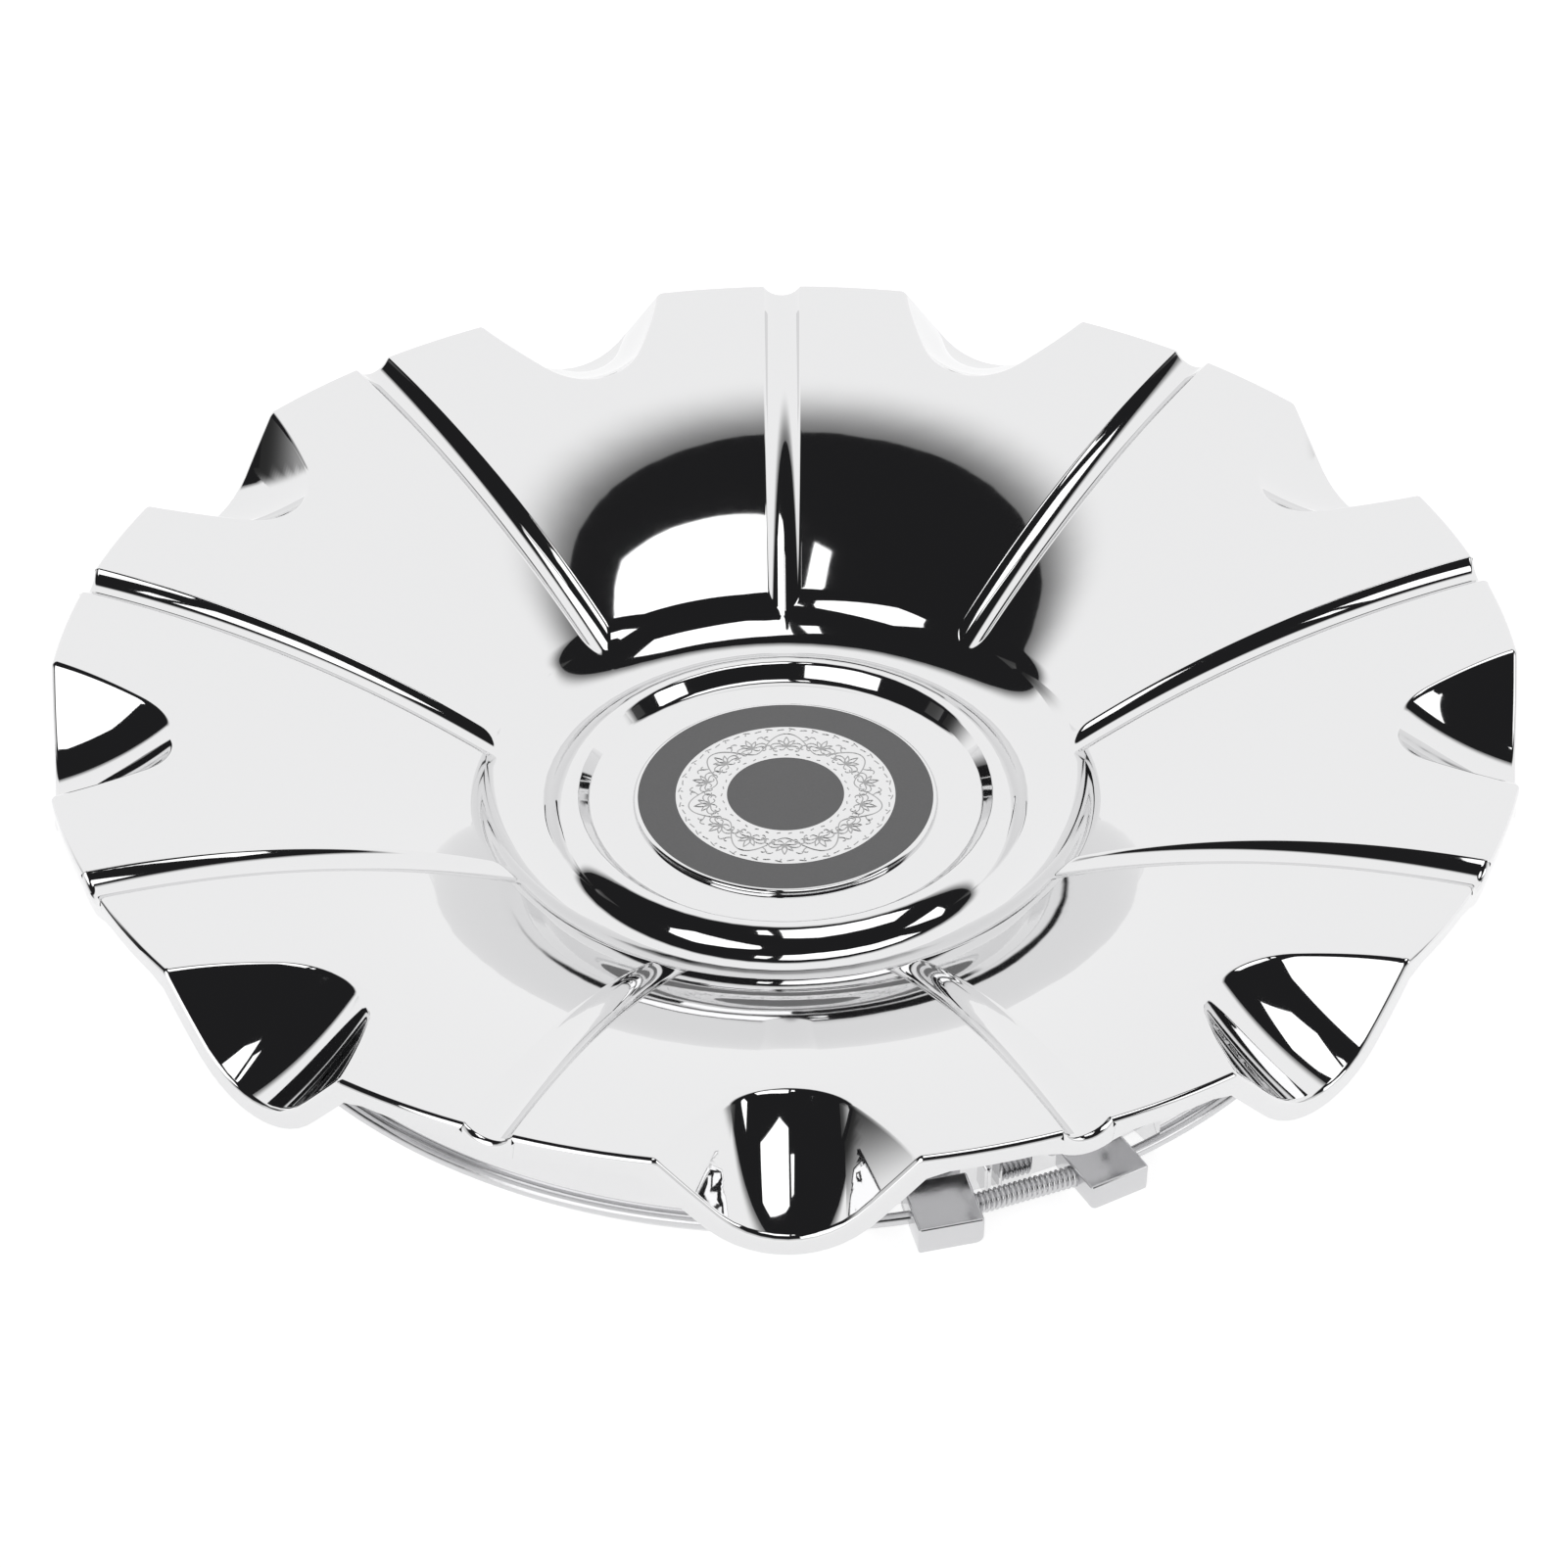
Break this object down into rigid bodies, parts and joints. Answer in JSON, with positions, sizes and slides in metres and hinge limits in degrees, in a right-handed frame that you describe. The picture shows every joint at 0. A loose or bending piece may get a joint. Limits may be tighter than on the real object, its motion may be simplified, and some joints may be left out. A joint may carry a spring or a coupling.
{
  "type": "wheel centre cap",
  "caption": "Round dished wheel centre cap with a scooped and fluted rim, a recessed emblem plate, and an adjustable wire ring round its skirt that snaps into the wheel.",
  "frame": {"origin": "on the cap's axis, at the foot of the skirt that the cap rests on", "axes": "+Z along the cap's axis, out of its face; one scoop faces -Y and one flute faces +Y"},
  "size_m": [0.25, 0.25, 0.038],
  "materials": {
    "chrome_plating": "mirror polished",
    "emblem_paint": "satin grey fields round a bright engraved ring",
    "spring_wire": "bright wire",
    "lug_zinc": "satin, cast",
    "stud_steel": "threaded"
  },
  "bodies": {
    "root": {"cap_shell": "chrome_plating", "emblem_plate": "emblem_paint", "retaining_ring": "spring_wire", "ring_lug_left": "lug_zinc", "ring_lug_right": "lug_zinc", "adjusting_stud": "stud_steel"}
  },
  "joints": []
}
